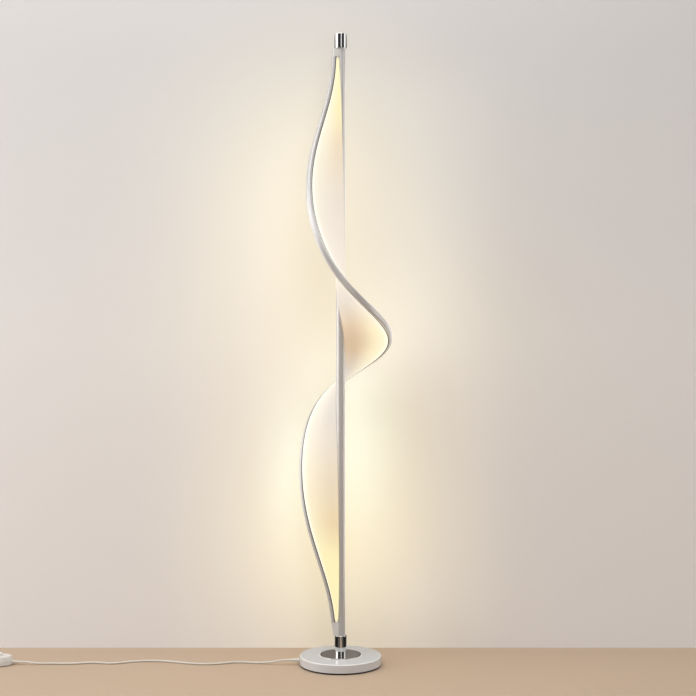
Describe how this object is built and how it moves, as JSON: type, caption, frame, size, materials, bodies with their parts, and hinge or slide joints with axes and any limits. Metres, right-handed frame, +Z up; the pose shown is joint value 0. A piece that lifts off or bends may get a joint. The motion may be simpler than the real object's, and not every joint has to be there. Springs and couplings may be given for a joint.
{
  "type": "floor lamp",
  "caption": "Slim LED floor lamp: a rail winds round a thin post on a weighted round base and carries a glowing translucent fin; the lead has a foot switch.",
  "frame": {"origin": "on the floor at the centre of the base, which is the axis of the post", "axes": "+Z up along the post, the lamp seen from -Y with +X to the right; the mains lead leaves towards -X"},
  "size_m": [1.0603, 0.2272, 1.392],
  "materials": {
    "white_paint": "gloss",
    "foam": "matte",
    "plated_steel": "satin",
    "iron": "matte",
    "chrome": "polished",
    "rail_silver": "satin",
    "strip_white": "matte",
    "led_warm": "glowing",
    "skin_opal": "satin, translucent",
    "block_white": "satin",
    "driver_white": "matte",
    "wire_black": "matte",
    "cord_white": "satin",
    "switch_white": "gloss",
    "contact_grey": "matte",
    "tie_white": "matte",
    "pin_nickel": "nickel plated"
  },
  "bodies": {
    "lamp": {"anti_slip_pad": "foam", "base_bottom_plate": "plated_steel", "base_shell": "white_paint", "counterweight": "iron", "bottom_screws": "plated_steel", "cover_disc": "chrome", "post_collar": "chrome", "threaded_rod": "plated_steel", "rod_washer": "plated_steel", "rod_nut": "plated_steel", "post_lower_plug": "plated_steel", "post_tube": "white_paint", "post_upper_plug": "plated_steel", "top_cap": "chrome", "spiral_rail": "rail_silver", "led_strip": "strip_white", "led_chips": "led_warm", "strip_connector": "strip_white", "diffuser_upper": "skin_opal", "diffuser_lower": "skin_opal", "lower_joint_block": "block_white", "upper_joint_block": "block_white", "block_screws": "plated_steel", "led_driver": "driver_white", "driver_lead": "wire_black", "mains_wires": "wire_black", "strain_relief": "cord_white", "cord_to_switch": "cord_white", "switch_rubber": "foam", "switch_base": "switch_white", "switch_cover": "switch_white", "switch_screws": "plated_steel", "switch_spring": "plated_steel", "switch_contact": "contact_grey", "switch_grommet_lamp": "cord_white", "switch_grommet_mains": "cord_white", "cord_from_switch": "cord_white", "cord_coil": "cord_white", "coil_tie": "tie_white", "cord_to_plug": "cord_white", "plug_body": "switch_white", "plug_pins": "pin_nickel"},
    "button": {"switch_button": "switch_white"}
  },
  "joints": [
    {"name": "switch_press", "type": "slide", "parent": "lamp", "child": "button", "axis": [0, 0, -1], "range_m": [0, 0.003], "stiffness_N_per_m": 600, "deforming": ["switch_spring"]}
  ]
}
